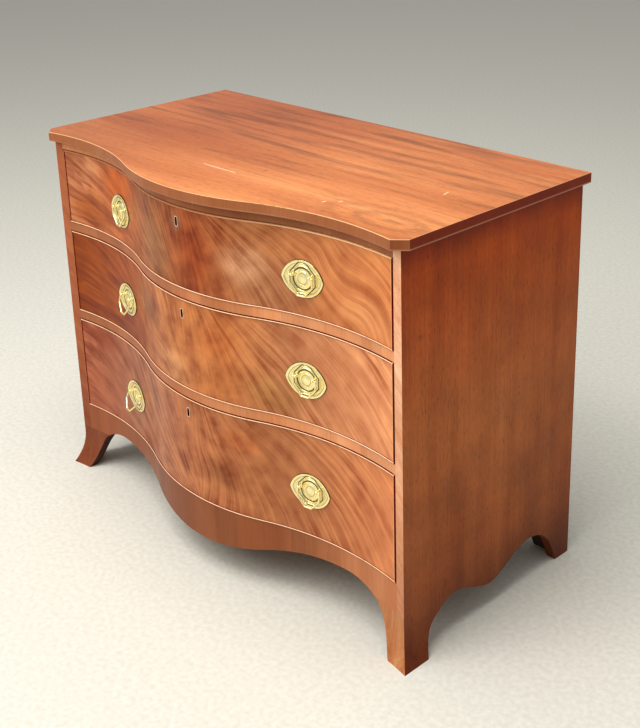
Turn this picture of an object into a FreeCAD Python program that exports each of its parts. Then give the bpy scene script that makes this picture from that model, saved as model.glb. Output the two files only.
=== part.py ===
import FreeCAD, Part
import math
import os
from FreeCAD import Vector

os.makedirs("parts", exist_ok=True)

# Overall size in millimetres: floor at z = 0, front towards -Y, origin under the middle of the top
height = 850.0
top_width = 1110.0
top_depth = 599.0
top_thickness = 20.5
top_front_overhang = 20.0
case_half = 537.0

# Serpentine plan of the front: a bulging arc between two hollow flanks, all tangent
bulge_radius = 479.0
flank_radius = 607.0
flank_centre_x = 413.0

# Canted front corners of the top, square corners of the case with a stile on each side's front edge
cant_x = 25.0
cant_y = 22.0
side_thickness = 22.0
stile_depth = 28.0

# Heights of the three drawer openings, bottom and top
openings = {"upper": (634.5, 808.5), "middle": (413.5, 614.5), "lower": (164.5, 393.5)}

# Base: splayed front feet, shaped apron and the lower edge of the sides
foot_height = 100.0
foot_splay = 24.0
foot_splay_height = 87.0
apron_thickness = 22.0
apron_drop_z = 72.0
apron_arch_z = 122.0
apron_arch_x = 360.0
foot_inner_x = 450.0
foot_side_length = 100.0

# Carcase boards
back_thickness = 10.0
rail_back_y = -140.0
dustboard_thickness = 10.0
bottom_thickness = 19.0

# Drawers
side_gap = 2.4
bottom_gap = 0.6
top_gap = 2.0
front_thickness = 24.0
bead_width = 3.0
bead_depth = 10.0
bead_proud = 2.0
drawer_side_thickness = 10.0
drawer_side_outer = 511.0
drawer_back_y = 272.0
drawer_back_thickness = 12.0
drawer_bottom_thickness = 8.0

# Brass handles: pointed oval plate, ball posts and an angular bail.
# They sit a little below the middle of each drawer, and some bails hang slightly swung out.
handle_x = 291.0
handle_drop = {"upper": 10.0, "middle": 8.0, "lower": 11.5}
bail_swing = {"upper": (0.0, 0.0), "middle": (13.0, 0.0), "lower": (25.0, 4.0)}
plate_half_width = 48.0
plate_half_height = 37.0
plate_thickness = 1.2
post_u = 20.0
post_z = 7.0
post_standoff = 9.0
ball_radius = 3.4
shank_radius = 2.2
pin_radius = 1.5
pin_clearance = 0.08
bail_radius = 1.8
bail_half_width = 25.6

# Locks, the upper ones set a little to the right of the middle
key_x = {"upper": 5.0, "middle": 2.0, "lower": 0.0}
lock_half_width = 32.0
lock_height = 46.0
keyhole_below_opening_top = 35.0
bolt_throw = 9.0

back_y = top_depth / 2
bulge_front_y = top_front_overhang - top_depth / 2
bulge_y = bulge_front_y + bulge_radius
flank_y = bulge_y - math.sqrt((bulge_radius + flank_radius) ** 2 - flank_centre_x ** 2)
case_top = height - top_thickness
opening_half = case_half - side_thickness
back_inner_y = back_y - back_thickness
drawer_half = opening_half - side_gap


def turn_x(offset):
    # x at which the bulge of the serpentine meets its flank
    return flank_centre_x * (bulge_radius + offset) / (bulge_radius + flank_radius)


def front_y(x, offset=0.0):
    # y of the serpentine at x, moved forward by offset
    if abs(x) < turn_x(offset):
        return bulge_y - math.sqrt((bulge_radius + offset) ** 2 - x ** 2)
    return flank_y + math.sqrt((flank_radius - offset) ** 2 - (abs(x) - flank_centre_x) ** 2)


corner_y = front_y(case_half)
side_front_y = corner_y + stile_depth


def line(p, q):
    return Part.makeLine(Vector(*p), Vector(*q))


def arc(p, q, r):
    return Part.Arc(Vector(*p), Vector(*q), Vector(*r)).toShape()


def spline(points):
    curve = Part.BSplineCurve()
    curve.interpolate([Vector(*p) for p in points])
    return curve.toShape()


def prism(edges, direction):
    wire = Part.Wire(Part.__sortEdges__(edges))
    return Part.Face(wire).extrude(Vector(*direction))


def polygon(points, direction):
    return prism([line(p, q) for p, q in zip(points, points[1:] + points[:1])], direction)


def box(x0, x1, y0, y1, z0, z1):
    return Part.makeBox(x1 - x0, y1 - y0, z1 - z0, Vector(x0, y0, z0))


def mirrored(shape):
    return shape.mirror(Vector(0, 0, 0), Vector(1, 0, 0))


def both(shape):
    return [shape, mirrored(shape)]


def save(name, shapes):
    solids = [s for shape in shapes for s in shape.removeSplitter().Solids]
    shape = solids[0] if len(solids) == 1 else Part.makeCompound(solids)
    shape.exportStep("parts/" + name + ".step")


def flank_arc(x0, x1, offset, z):
    points = [(x, front_y(x, offset), z) for x in (x0, (x0 + x1) / 2, x1)]
    return arc(*points)


def front_edges(half, offset, z):
    # the serpentine from -half to half as three tangent arcs
    turn = turn_x(offset)
    middle = arc(*[(x, front_y(min(abs(x), turn), offset), z) for x in (-turn, 0.0, turn)])
    return [flank_arc(-half, -turn, offset, z), middle, flank_arc(turn, half, offset, z)]


def band(half, outer, inner, z0, z1):
    # a wall that follows the serpentine, between two offsets
    edges = front_edges(half, outer, z0) + front_edges(half, inner, z0)
    for x in (-half, half):
        edges.append(line((x, front_y(x, outer), z0), (x, front_y(x, inner), z0)))
    return prism(edges, (0, 0, z1 - z0))


def slab(half, offset, y_back, z0, z1, ends=()):
    # a board with a serpentine front edge; ends are the points from the right front corner back
    right = [(half, front_y(half, offset))] + list(ends) + [(ends[-1][0] if ends else half, y_back)]
    path = right + [(-x, y) for x, y in reversed(right)]
    edges = [line((*p, z0), (*q, z0)) for p, q in zip(path, path[1:])]
    return prism(edges + front_edges(half, offset, z0), (0, 0, z1 - z0))


def corner_post(z0, z1):
    # the strip in front of the right side board, from the drawer opening to the outer corner
    inner = [(opening_half, front_y(opening_half)), (opening_half, side_front_y)]
    path = inner + [(case_half, side_front_y), (case_half, corner_y)]
    edges = [line((*p, z0), (*q, z0)) for p, q in zip(path, path[1:])]
    return prism(edges + [flank_arc(opening_half, case_half, 0, z0)], (0, 0, z1 - z0))


# Top board, with canted front corners and eased arrises
top_corner = top_width / 2 - cant_x
cant_end = (top_width / 2, front_y(top_corner, top_front_overhang) + cant_y)
top_board = slab(top_corner, top_front_overhang, back_y, case_top, height, [cant_end])
for level in (case_top, height):
    level_edges = [e for e in top_board.Edges if max(abs(v.Z - level) for v in e.Vertexes) < 0.01]
    eased = [e for e in level_edges if e.BoundBox.YMin < back_y - 1]
    top_board = top_board.makeFillet(1.2, eased)

# Back boards, lying side by side in the rebates of the sides
back_z = [foot_height + i * (case_top - foot_height) / 3 for i in range(4)]
back_half = case_half - side_thickness / 2
back_boards = [
    box(-back_half, back_half, back_inner_y, back_y, z0, z1)
    for z0, z1 in zip(back_z, back_z[1:])
]

# Sides: one board each, with the arches, the middle drop and the rear foot sawn in the lower edge
foot_back_y = corner_y + foot_side_length
side_curve = [
    (100, 70), (152, 86), (205, 66), (252, 53), (305, 74),
    (368, 96), (424, 78), (452, 38), (467, 0),
]
side_curve = [(opening_half, corner_y + y, z) for y, z in side_curve]
side_outline = [
    side_curve[-1],
    (opening_half, back_y, 0),
    (opening_half, back_y, case_top),
    (opening_half, side_front_y, case_top),
    (opening_half, side_front_y, foot_height),
    (opening_half, foot_back_y, foot_height),
    side_curve[0],
]
side_edges = [line(p, q) for p, q in zip(side_outline, side_outline[1:])] + [spline(side_curve)]
right_side = prism(side_edges, (side_thickness, 0, 0))
right_side = right_side.cut(back_boards)

# Front stiles, between the apron and the top rail
right_stile = corner_post(openings["lower"][0], openings["upper"][1])

# Rails between the drawers, tenoned into the sides, and the top rail that runs over the stiles
drawer_rails = {}
for rail, below, above in (
    ("upper_drawer_rail", "middle", "upper"),
    ("lower_drawer_rail", "lower", "middle"),
):
    z0 = openings[below][1]
    z1 = openings[above][0]
    tenon = box(opening_half, opening_half + 12, side_front_y + 6, side_front_y + 36, z0 + 5, z1 - 5)
    right_side = right_side.cut(tenon)
    drawer_rails[rail] = slab(opening_half, 0, rail_back_y, z0, z1).fuse(both(tenon))
top_rail_z = openings["upper"][1]
top_front_rail = slab(opening_half, 0, rail_back_y, top_rail_z, case_top)
top_front_rail = top_front_rail.fuse(both(corner_post(top_rail_z, case_top)))
top_back_rail = box(-opening_half, opening_half, back_inner_y - 22, back_inner_y, top_rail_z, case_top)

# Kickers under the top, which keep the upper drawer level when it is drawn out
kickers = both(box(opening_half - 36, opening_half, rail_back_y, back_inner_y - 22, top_rail_z, case_top))

# Dustboards behind the rails, and the case bottom behind the apron
dustboards = {}
for dustboard, above in (("upper_dustboard", "upper"), ("lower_dustboard", "middle")):
    z1 = openings[above][0]
    dustboards[dustboard] = box(
        -opening_half, opening_half, rail_back_y, back_inner_y, z1 - dustboard_thickness, z1
    )
apron_top = openings["lower"][0]
base_z = apron_top - bottom_thickness
bottom_board = slab(opening_half, -apron_thickness, back_inner_y, base_z, apron_top)
bottom_board = bottom_board.cut(both(corner_post(base_z, apron_top)))

# Apron: a serpentine board with an S-curved lower edge, lowest in the middle
apron_half_rise = (apron_arch_z - apron_drop_z) / 2
apron_radius = ((apron_arch_x / 2) ** 2 + apron_half_rise ** 2) / (2 * apron_half_rise)


def apron_z(x):
    if abs(x) < apron_arch_x / 2:
        return apron_drop_z + apron_radius - math.sqrt(apron_radius ** 2 - x ** 2)
    return apron_arch_z - apron_radius + math.sqrt(apron_radius ** 2 - (abs(x) - apron_arch_x) ** 2)


apron_front = bulge_front_y - 20
arch_turn = apron_arch_x / 2
apron_edges = [arc(*[(x, apron_front, apron_z(x)) for x in (-arch_turn, 0, arch_turn)])]
for side in (-1, 1):
    arch = [(side * x, apron_front, apron_z(x)) for x in (arch_turn, 1.5 * arch_turn, apron_arch_x)]
    shoulder = [(apron_arch_x, apron_arch_z), (411, 117), (foot_inner_x, foot_height)]
    apron_edges += [arc(*arch), spline([(side * x, apron_front, z) for x, z in shoulder])]
    apron_end = [(foot_inner_x, foot_height), (case_half, foot_height), (case_half, apron_top)]
    apron_end = [(side * x, apron_front, z) for x, z in apron_end]
    apron_edges += [line(p, q) for p, q in zip(apron_end, apron_end[1:])]
apron_edges.append(line((-case_half, apron_front, apron_top), (case_half, apron_front, apron_top)))
apron_blank = band(case_half, 0, -apron_thickness, apron_drop_z - 5, apron_top)
apron_blank = apron_blank.fuse(both(corner_post(foot_height, apron_top)))
apron = apron_blank.common(prism(apron_edges, (0, 200, 0)))


def foot_section(z):
    # L-shaped plan of the right front foot, moved outwards by the splay at height z
    splay = foot_splay * max(0.0, 1 - z / foot_splay_height) ** 2
    block_x = opening_half - 20
    outline = [
        (case_half, corner_y, z),
        (case_half, foot_back_y, z),
        (opening_half, foot_back_y, z),
        (opening_half, corner_y + 52, z),
        (block_x, front_y(block_x, -apron_thickness), z),
    ]
    edges = [line(p, q) for p, q in zip(outline, outline[1:])]
    edges.append(flank_arc(foot_inner_x, case_half, 0, z))
    edges.append(flank_arc(foot_inner_x, block_x, -apron_thickness, z))
    inner_back = (foot_inner_x, front_y(foot_inner_x, -apron_thickness), z)
    edges.append(line((foot_inner_x, front_y(foot_inner_x), z), inner_back))
    wire = Part.Wire(Part.__sortEdges__(edges))
    wire.translate(Vector(splay, -splay, 0))
    return wire


# Front feet: splayed outwards, with a swept inner curve on the front and on the side
splay_levels = [foot_splay_height * i / 4 for i in range(5)]
right_foot = Part.makeLoft([foot_section(z) for z in splay_levels], True, False)
neck_height = foot_height - foot_splay_height
foot_neck = Part.Face(foot_section(foot_splay_height)).extrude(Vector(0, 0, neck_height))
right_foot = right_foot.fuse(foot_neck)
front_sweep = [(foot_inner_x, foot_height), (464, 86), (476, 66), (485, 48), (494, 27), (509, -1)]
front_sweep = [(x, -300, z) for x, z in front_sweep]
front_room = [front_sweep[-1], (400, -300, -1), (400, -300, foot_height), front_sweep[0]]
front_cut = [line(p, q) for p, q in zip(front_room, front_room[1:])] + [spline(front_sweep)]
right_foot = right_foot.cut(prism(front_cut, (0, 180, 0)))
side_sweep = [(100, 70), (81, 60), (64, 44), (51, 20), (41, -1)]
side_sweep = [(opening_half - 20, corner_y + y, z) for y, z in side_sweep]
room_y = foot_back_y + 40
room_x = opening_half - 20
side_room = [side_sweep[-1], (room_x, room_y, -1), (room_x, room_y, 70), side_sweep[0]]
side_cut = [line(p, q) for p, q in zip(side_room, side_room[1:])] + [spline(side_sweep)]
right_foot = right_foot.cut(prism(side_cut, (70, 0, 0)))

# Brackets behind the rear feet, with a sloping inner edge
bracket_inner = opening_half - 100
rear_path = [
    (opening_half, 0), (opening_half, base_z), (bracket_inner, base_z),
    (bracket_inner, 110), (opening_half - 46, 0),
]
rear_bracket = polygon([(x, back_inner_y - 18, z) for x, z in rear_path], (0, 18, 0))

# Drawer stops on the rails and the case bottom, just behind the drawer fronts
stops = []
for bottom_z, top_z in openings.values():
    stop = slab(420, -front_thickness - 0.4, rail_back_y - 5, bottom_z, bottom_z + 4)
    stops += both(stop.common(box(230, 280, -300, rail_back_y, bottom_z, bottom_z + 4)))

# Glue blocks under the case bottom, behind the apron and along the sides
blocks = []
for x in (-320.0, -160.0, 0.0, 160.0, 320.0):
    block = slab(400, -apron_thickness, -110, base_z - 22, base_z)
    depth = front_y(x, -apron_thickness) + 34
    blocks.append(block.common(box(x - 30, x + 30, -300, depth, base_z - 22, base_z)))
for y in (-60.0, 60.0, 180.0):
    blocks += both(box(opening_half - 22, opening_half, y - 30, y + 30, base_z - 22, base_z))

# Screws that hold the top down, driven up through the two top rails
screws = []
for x in (-380.0, 0.0, 380.0):
    for y in (rail_back_y - 25, back_inner_y - 11):
        shank = Part.makeCylinder(2.4, 34, Vector(x, y, openings["upper"][1]), Vector(0, 0, 1))
        head = Part.makeCone(4.6, 2.4, 3.2, Vector(x, y, openings["upper"][1]), Vector(0, 0, 1))
        screws.append(shank.fuse(head))
for screw in screws:
    top_front_rail = top_front_rail.cut(screw)
    top_back_rail = top_back_rail.cut(screw)
    top_board = top_board.cut(screw)


# Handle, built about the middle of its plate: x along the front, -y outwards, z up
def shell(radius):
    return Part.makeCylinder(radius, 200, Vector(0, -flank_radius, -100), Vector(0, 0, 1))


def curved_relief(outline, relief):
    # a raised shape on the hollow of the drawer front
    return outline.common(shell(flank_radius)).cut(shell(flank_radius - relief))


def navette(inset):
    half = plate_half_width - 1.3 * inset
    rise = plate_half_height - inset
    ends = [(-half, -12, 0), (half, -12, 0)]
    upper = arc(ends[0], (0, -12, rise), ends[1])
    lower = arc(ends[0], (0, -12, -rise), ends[1])
    return prism([upper, lower], (0, 18, 0))


def octagon(inset):
    points = [(27 - inset, 10.5), (8, 30.5 - inset), (-8, 30.5 - inset), (-27 + inset, 10.5)]
    points += [(x, -z) for x, z in reversed(points)]
    return polygon([(x, -12, z) for x, z in points], (0, 18, 0))


def oval(half, rise):
    ellipse = Part.Ellipse(Vector(0, -12, rise), Vector(half, -12, 0), Vector(0, -12, 0))
    return prism([ellipse.toShape()], (0, 18, 0))


plate = curved_relief(navette(0), plate_thickness)
plate = plate.fuse(curved_relief(navette(0).cut(navette(3)), 2.0))
plate = plate.fuse(curved_relief(octagon(0).cut(octagon(2.2)), 2.4))
plate = plate.fuse(curved_relief(oval(20, 24).cut(oval(17.5, 21.5)), 2.4))
plate = plate.fuse(curved_relief(oval(9.5, 12), 2.6))

posts = []
shanks = []
for u in (-post_u, post_u):
    shank = Part.makeCylinder(shank_radius, 38, Vector(u, -post_standoff, post_z), Vector(0, 1, 0))
    ball = Part.makeSphere(ball_radius, Vector(u, -post_standoff, post_z))
    collar = Part.makeCylinder(3.6, 8, Vector(u, -5, post_z), Vector(0, 1, 0))
    collar = collar.common(shell(flank_radius - plate_thickness))
    nut = box(u - 5, u + 5, 20, 28, post_z - 5, post_z + 5).cut(shell(flank_radius + front_thickness))
    hole_start = Vector(u - 5, -post_standoff, post_z)
    hole = Part.makeCylinder(pin_radius + pin_clearance, 10, hole_start, Vector(1, 0, 0))
    posts.append(shank.fuse([ball, collar, nut]).cut(hole))
    shanks.append(shank)
for post in posts:
    plate = plate.cut(post)

bail_points = [
    (bail_half_width, post_z), (bail_half_width, -12), (8, -31),
    (-8, -31), (-bail_half_width, -12), (-bail_half_width, post_z),
]
bail_points = [Vector(u, -post_standoff, z) for u, z in bail_points]
bail = Part.makeSphere(bail_radius, bail_points[0])
for p, q in zip(bail_points, bail_points[1:]):
    bar = Part.makeCylinder(bail_radius, (q - p).Length, p, q - p)
    bail = bail.fuse([bar, Part.makeSphere(bail_radius, q)])
for end in (bail_points[0], bail_points[-1]):
    inward = Vector(-math.copysign(1, end.x), 0, 0)
    bail = bail.fuse(Part.makeCylinder(pin_radius, 9, end, inward))


def hung(shape, x, z, swing=0.0):
    # a handle piece set square to the drawer front at x, its lower end swung outwards by an angle
    angle = math.degrees(math.asin((flank_centre_x - abs(x)) / flank_radius))
    placed = shape.copy()
    placed.rotate(Vector(0, -post_standoff, post_z), Vector(1, 0, 0), -swing)
    placed.rotate(Vector(0, 0, 0), Vector(0, 0, 1), math.copysign(angle, x))
    placed.translate(Vector(x, front_y(x), z))
    return placed


def tails(y0, y1, z0, z1, count):
    # a row of dovetails on the end of the right drawer side, wider at the far end
    pitch = (z1 - z0) / count
    inner = drawer_side_outer - drawer_side_thickness
    found = []
    for i in range(count):
        z = z0 + (i + 0.5) * pitch
        outline = [(inner, y0, z - 0.26 * pitch), (inner, y0, z + 0.26 * pitch)]
        outline += [(inner, y1, z + 0.36 * pitch), (inner, y1, z - 0.36 * pitch)]
        found.append(polygon(outline, (drawer_side_thickness, 0, 0)))
    return found


# Three drawers, alike but for their heights
shoulder_y = front_y(drawer_side_outer, -front_thickness) - 3
rails_above = {"upper": "top_front_rail", "middle": "upper_drawer_rail", "lower": "lower_drawer_rail"}
for name, (z_bottom, z_top) in openings.items():
    z0 = z_bottom + bottom_gap
    z1 = z_top - top_gap
    handle_z = (z0 + z1) / 2 - handle_drop[name]
    places = (-handle_x, handle_x)
    keyway = key_x[name]
    prefix = name + "_drawer_"

    # Cockbeads: four thin strips let into the edges of the front
    beads = []
    for low in (z0, z1 - bead_width):
        beads.append(band(drawer_half, bead_proud, bead_proud - bead_depth, low, low + bead_width))
    upright = band(drawer_half, bead_proud, bead_proud - bead_depth, z0 + bead_width, z1 - bead_width)
    beads += both(upright.common(box(drawer_half - bead_width, drawer_half, -300, 0, z0, z1)))

    # Sides with half-blind dovetails in front and through dovetails behind
    side_top = z_top - 5
    inner = drawer_side_outer - drawer_side_thickness
    side = box(inner, drawer_side_outer, shoulder_y, drawer_back_y - drawer_back_thickness, z0, side_top)
    side = side.fuse(tails(shoulder_y, shoulder_y - 11, z0 + 8, side_top - 4, 4))
    side = side.fuse(tails(drawer_back_y - drawer_back_thickness, drawer_back_y, z0 + 16, side_top - 4, 4))

    # Bottom in grooves of the sides and front, running under the back
    bottom_z = z0 + 5
    drawer_bottom = slab(
        inner + 5, 6 - front_thickness, drawer_back_y, bottom_z, bottom_z + drawer_bottom_thickness
    )
    side = side.cut(drawer_bottom)
    sides = both(side)
    back = box(-drawer_side_outer, drawer_side_outer, drawer_back_y - drawer_back_thickness, drawer_back_y,
               bottom_z + drawer_bottom_thickness, side_top - 3)
    back = back.cut(sides)

    # Lock in a pocket behind the front, its bolt sliding up through the top edge
    lock_front = bulge_front_y + front_thickness - 11
    lock_ends = (keyway - lock_half_width, keyway + lock_half_width)
    lock = box(*lock_ends, lock_front, lock_front + 12, z1 - lock_height, z1)
    cavity = box(keyway - 11, keyway + 11, lock_front + 3, lock_front + 9, z1 - 38, z1)
    bolt = box(keyway - 10.7, keyway + 10.7, lock_front + 3.3, lock_front + 8.7, z1 - 37.5, z1 - 0.5)
    mortise = box(keyway - 11.5, keyway + 11.5, lock_front + 2.5, lock_front + 9.5, z_top, z_top + bolt_throw)

    # Keyhole and its brass lining
    key_z = z_top - keyhole_below_opening_top
    key_face = bulge_front_y - 0.3
    key_depth = lock_front + 3 - key_face
    lining = box(keyway - 4, keyway + 4, key_face, key_face + 6, key_z - 6.5, key_z + 6.5)
    keyhole = box(keyway - 1.6, keyway + 1.6, key_face, lock_front + 3, key_z - 5.5, key_z + 5.5)
    for end in (-1, 1):
        rim_centre = Vector(keyway, key_face, key_z + 6.5 * end)
        slot_centre = Vector(keyway, key_face, key_z + 5.5 * end)
        lining = lining.fuse(Part.makeCylinder(4.7, 6, rim_centre, Vector(0, 1, 0)))
        keyhole = keyhole.fuse(Part.makeCylinder(2.1, key_depth, slot_centre, Vector(0, 1, 0)))

    # Front: grain-matched curved board, cut for beads, joints, lock and handle posts
    front = band(drawer_half, 0, -front_thickness, z0, z1)
    front = front.cut(beads + sides + [drawer_bottom, lock, lining, keyhole])
    front = front.cut([hung(shank, x, handle_z) for shank in shanks for x in places])

    save(prefix + "front", [front])
    save(prefix + "left_side", [sides[1]])
    save(prefix + "right_side", [sides[0]])
    save(prefix + "back", [back])
    save(prefix + "bottom", [drawer_bottom])
    save(prefix + "cockbeads", beads)
    save(prefix + "lock", [lock.cut([cavity, keyhole])])
    save(prefix + "lock_bolt", [bolt])
    save(prefix + "escutcheon", [lining.cut(keyhole)])
    save(prefix + "handle_plates", [hung(plate, x, handle_z) for x in places])
    save(prefix + "handle_posts", [hung(post, x, handle_z) for post in posts for x in places])
    for side, x, swing in zip(("left", "right"), places, bail_swing[name]):
        save(prefix + side + "_bail", [hung(bail, x, handle_z, swing)])

    if name == "upper":
        top_front_rail = top_front_rail.cut(mortise)
    else:
        drawer_rails[rails_above[name]] = drawer_rails[rails_above[name]].cut(mortise)

save("top_board", [top_board])
save("left_side", [mirrored(right_side)])
save("right_side", [right_side])
save("left_front_stile", [mirrored(right_stile)])
save("right_front_stile", [right_stile])
save("back_boards", back_boards)
save("bottom_board", [bottom_board])
save("top_front_rail", [top_front_rail])
save("top_back_rail", [top_back_rail])
for rail, shape in drawer_rails.items():
    save(rail, [shape])
for dustboard, shape in dustboards.items():
    save(dustboard, [shape])
save("apron", [apron])
save("left_front_foot", [mirrored(right_foot)])
save("right_front_foot", [right_foot])
save("rear_foot_brackets", both(rear_bracket))
save("top_kickers", kickers)
save("drawer_stops", stops)
save("glue_blocks", blocks)
save("top_screws", screws)
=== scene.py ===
import math

import bmesh
import bpy
import numpy as np
from mathutils import Matrix, Vector


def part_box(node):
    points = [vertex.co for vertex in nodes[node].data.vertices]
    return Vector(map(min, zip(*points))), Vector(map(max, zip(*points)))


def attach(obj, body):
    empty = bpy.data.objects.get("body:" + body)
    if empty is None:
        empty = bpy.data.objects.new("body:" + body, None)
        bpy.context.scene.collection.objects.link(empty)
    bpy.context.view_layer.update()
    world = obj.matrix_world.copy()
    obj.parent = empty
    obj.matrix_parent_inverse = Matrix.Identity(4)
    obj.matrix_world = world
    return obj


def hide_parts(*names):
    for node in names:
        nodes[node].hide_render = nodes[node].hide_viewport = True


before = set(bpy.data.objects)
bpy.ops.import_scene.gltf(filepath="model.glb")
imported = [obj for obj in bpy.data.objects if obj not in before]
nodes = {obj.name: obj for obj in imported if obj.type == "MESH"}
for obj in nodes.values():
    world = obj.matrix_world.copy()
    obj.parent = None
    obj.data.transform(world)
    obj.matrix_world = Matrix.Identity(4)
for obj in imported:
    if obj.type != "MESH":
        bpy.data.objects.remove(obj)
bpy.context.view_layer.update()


# The sides
# Each side is a wide board of solid mahogany with upright grain, planed by hand and French-polished.
# The arches and the rear foot are sawn in its lower edge, and the rails are tenoned into it.
def linear(code):
    # sRGB hex colour as the linear values that a shader takes
    values = [int(code[i:i + 2], 16) / 255 for i in (1, 3, 5)]
    return [v / 12.92 if v <= 0.04045 else ((v + 0.055) / 1.055) ** 2.4 for v in values] + [1.0]


def add(tree, kind, inputs=None, stops=None, **settings):
    # one node with its settings, its colour stops and its links; a kind with no prefix is a shader node
    made = tree.nodes.new(kind if kind.startswith(("Geometry", "NodeGroup")) else "ShaderNode" + kind)
    for name, value in settings.items():
        setattr(made, name, value)
    if stops:
        ramp = made.color_ramp
        while len(ramp.elements) < len(stops):
            ramp.elements.new(0.5)
        for element, (place, code) in zip(ramp.elements, stops):
            element.position = place
            element.color = linear(code)
    for name, value in (inputs or {}).items():
        if isinstance(value, bpy.types.NodeSocket):
            tree.links.new(value, made.inputs[name])
        else:
            made.inputs[name].default_value = value
    return made


def finish_of(name, **sockets):
    # a new material with one shader, its fixed values set on the shader itself
    material = bpy.data.materials.new(name)
    material.use_nodes = True
    tree = material.node_tree
    tree.nodes.clear()
    surface = add(tree, "BsdfPrincipled")
    for socket, value in sockets.items():
        surface.inputs[socket.replace("_", " ")].default_value = value
    add(tree, "OutputMaterial", {"Surface": surface.outputs["BSDF"]})
    place = add(tree, "TexCoord").outputs["Object"]
    return material, tree, surface, place


def tinted(tree, colour, tint, share=1.0):
    # a colour with a stain over it
    return add(tree, "Mix", {0: share, 6: colour, 7: tint}, data_type="RGBA",
               blend_type="MULTIPLY").outputs[2]


def grain(tree, place, along, stops, band, line, wander, seed, length=14.0, soft=0.34, pore=0.68):
    # Grain along one axis: soft bands, fine lines and short dark pores, sizes in metres. The length of a
    # band is given in widths, soft is half the range of tones that the colours cover, and pore is the
    # shade of the pores. Real pores are 0.2 mm wide; here they are about 1 mm so that they show.
    pore_width, pore_length = 0.0011, 14.0
    middle_tone = 0.725
    slow = [3.0, 3.0, 3.0]
    slow[along] = 1.1
    slow = add(tree, "VectorMath", {0: place, 1: slow}, operation="MULTIPLY").outputs[0]
    drift = add(tree, "TexNoise", {"Vector": slow, "W": seed, "Scale": 1.5, "Detail": 2.0},
                noise_dimensions="4D").outputs["Color"]
    drift = add(tree, "VectorMath", {0: drift, 1: (0.5, 0.5, 0.5)}, operation="SUBTRACT").outputs[0]
    bent = add(tree, "VectorMath", {0: drift, 1: [wander] * 3, 2: place},
               operation="MULTIPLY_ADD").outputs[0]
    layers = []
    for width, ratio, detail in ((band, length, 3.0), (line, length * 4, 2.0),
                                 (pore_width, pore_length, 0.0)):
        size = [1 / width] * 3
        size[along] = 1 / (width * ratio)
        fine = add(tree, "VectorMath", {0: bent, 1: size}, operation="MULTIPLY").outputs[0]
        layers.append(add(tree, "TexNoise", {"Vector": fine, "W": seed, "Scale": 1.0, "Detail": detail},
                          noise_dimensions="4D").outputs["Fac"])
    bands, lines, pores = layers
    tone = add(tree, "Math", {0: lines, 1: 0.45, 2: bands}, operation="MULTIPLY_ADD").outputs[0]
    tone = add(tree, "MapRange", {"Value": tone, "From Min": middle_tone - soft,
                                  "From Max": middle_tone + soft}).outputs[0]
    colour = add(tree, "ValToRGB", {"Fac": tone}, stops).outputs["Color"]
    pores = add(tree, "MapRange", {"Value": pores, "From Min": 0.6, "From Max": 0.72,
                                   "To Min": 1.0, "To Max": pore}).outputs[0]
    return tinted(tree, colour, pores), lines


def polish(tree, surface, colour, lines, gloss, relief=0.05):
    # joins a wood's colour to its shader, with the sheen and relief that follow its lines
    rough = add(tree, "MapRange", {"Value": lines, "From Min": 0.3, "From Max": 0.7,
                                   "To Min": gloss[0], "To Max": gloss[1]}).outputs[0]
    bump = add(tree, "Bump", {"Strength": relief, "Distance": 0.0004, "Height": lines}).outputs["Normal"]
    tree.links.new(colour, surface.inputs["Base Color"])
    tree.links.new(rough, surface.inputs["Roughness"])
    tree.links.new(bump, surface.inputs["Normal"])


def dress(material, *names):
    # puts a finish on CAD nodes whose shape is right
    for name in names:
        nodes[name].material_slots[0].material = material


french_polish = {"Specular_IOR_Level": 0.15, "IOR": 1.5}
# Solid mahogany, French-polished: even red-brown with fine upright lines and a soft gloss.
# It is painted richer and darker under the top, as the shade of the overhang, and painted duller
# towards the floor, as the floor's reflection.
side_stops = [(0.0, "#8d4611"), (0.35, "#a85520"), (0.65, "#bb6831"), (1.0, "#d08557")]
side_painted_shade_and_reflection = [(0.02, "#98816a"), (0.16, "#d6cabc"), (0.45, "#ffffff"),
               (0.775, "#ffc244"), (0.806, "#d69030"), (0.829, "#b06a1c")]


def side_figure(tree, place):
    # colour and lines of the sides, with a mottle of about 110 mm and short dark flecks of filled pores,
    # about 2 by 12 mm, thinly scattered
    colour, lines = grain(tree, place, 2, side_stops, band=0.05, line=0.005, wander=0.02, seed=3.1, soft=0.42)
    fleck = add(tree, "VectorMath", {0: place, 1: (500.0, 500.0, 85.0)}, operation="MULTIPLY").outputs[0]
    fleck = add(tree, "TexNoise", {"Vector": fleck, "Scale": 1.0, "Detail": 1.0}).outputs["Fac"]
    fleck = add(tree, "MapRange", {"Value": fleck, "From Min": 0.68, "From Max": 0.76,
                                   "To Min": 1.0, "To Max": 0.45}).outputs[0]
    mottle = add(tree, "TexNoise", {"Vector": place, "Scale": 9.0, "Detail": 5.0,
                                    "Roughness": 0.6}).outputs["Fac"]
    mottle = add(tree, "MapRange", {"Value": mottle, "From Min": 0.3, "From Max": 0.7,
                                    "To Min": 0.78, "To Max": 1.16}).outputs[0]
    colour = tinted(tree, colour, mottle)
    # Painted shade under the top and a painted floor reflection low down, set by height
    height = add(tree, "SeparateXYZ", {0: place}).outputs["Z"]
    painted_shade_and_reflection = add(tree, "ValToRGB", {"Fac": height}, side_painted_shade_and_reflection).outputs["Color"]
    return tinted(tree, tinted(tree, colour, fleck), painted_shade_and_reflection), lines


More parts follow.
